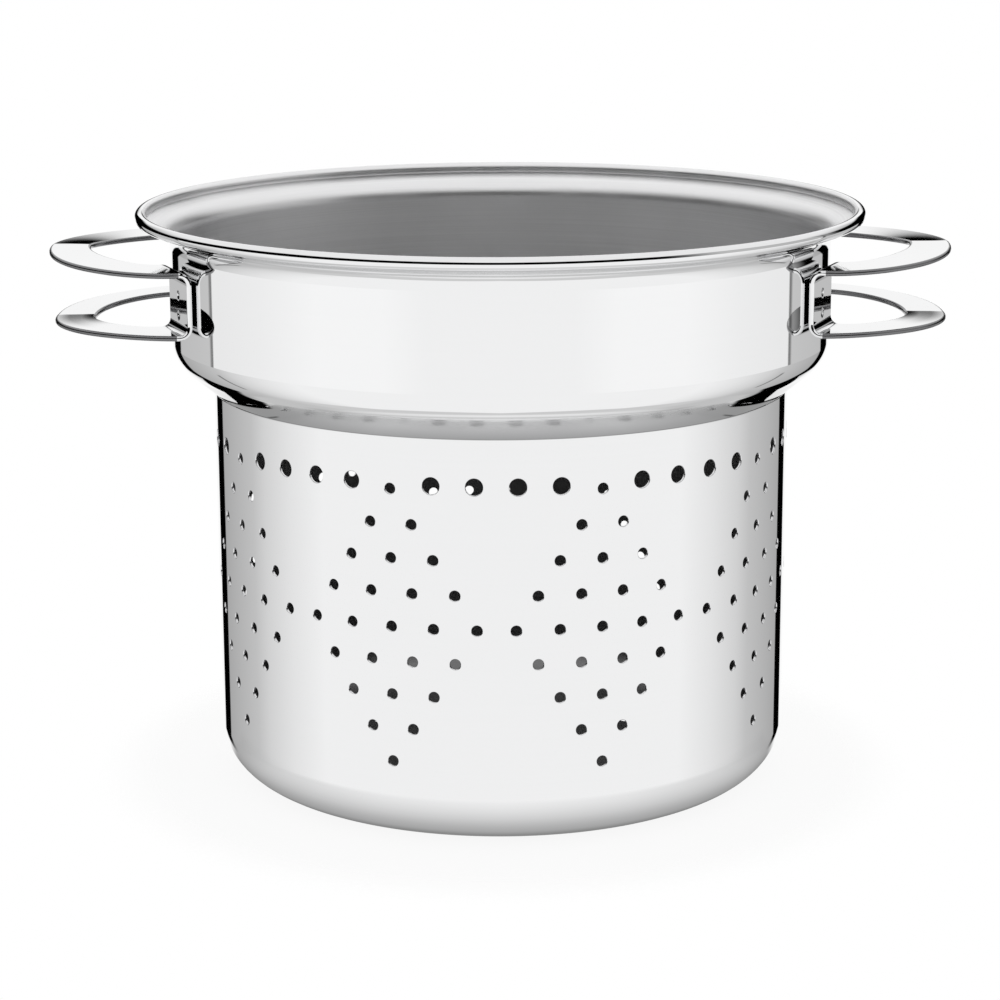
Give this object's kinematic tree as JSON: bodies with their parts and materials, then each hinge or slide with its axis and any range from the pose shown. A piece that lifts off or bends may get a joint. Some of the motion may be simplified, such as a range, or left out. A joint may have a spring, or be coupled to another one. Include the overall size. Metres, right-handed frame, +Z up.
{
  "type": "pasta strainer insert",
  "caption": "Deep perforated steel strainer insert with a wider collar, a rolled rim and two double-loop side handles, made to hang inside a stock pot.",
  "frame": {"origin": "centre of the base's underside, on the basket's axis", "axes": "+Z up along the basket's axis, +X towards the right handle, -Y towards the front of the picture"},
  "size_m": [0.3424, 0.2762, 0.22],
  "materials": {
    "body_steel": "mirror-polished stainless steel outside, fine satin inside",
    "handle_steel": "mirror-polished stainless steel"
  },
  "bodies": {
    "root": {"strainer_body": "body_steel", "handle_left": "handle_steel", "handle_right": "handle_steel"}
  },
  "joints": []
}
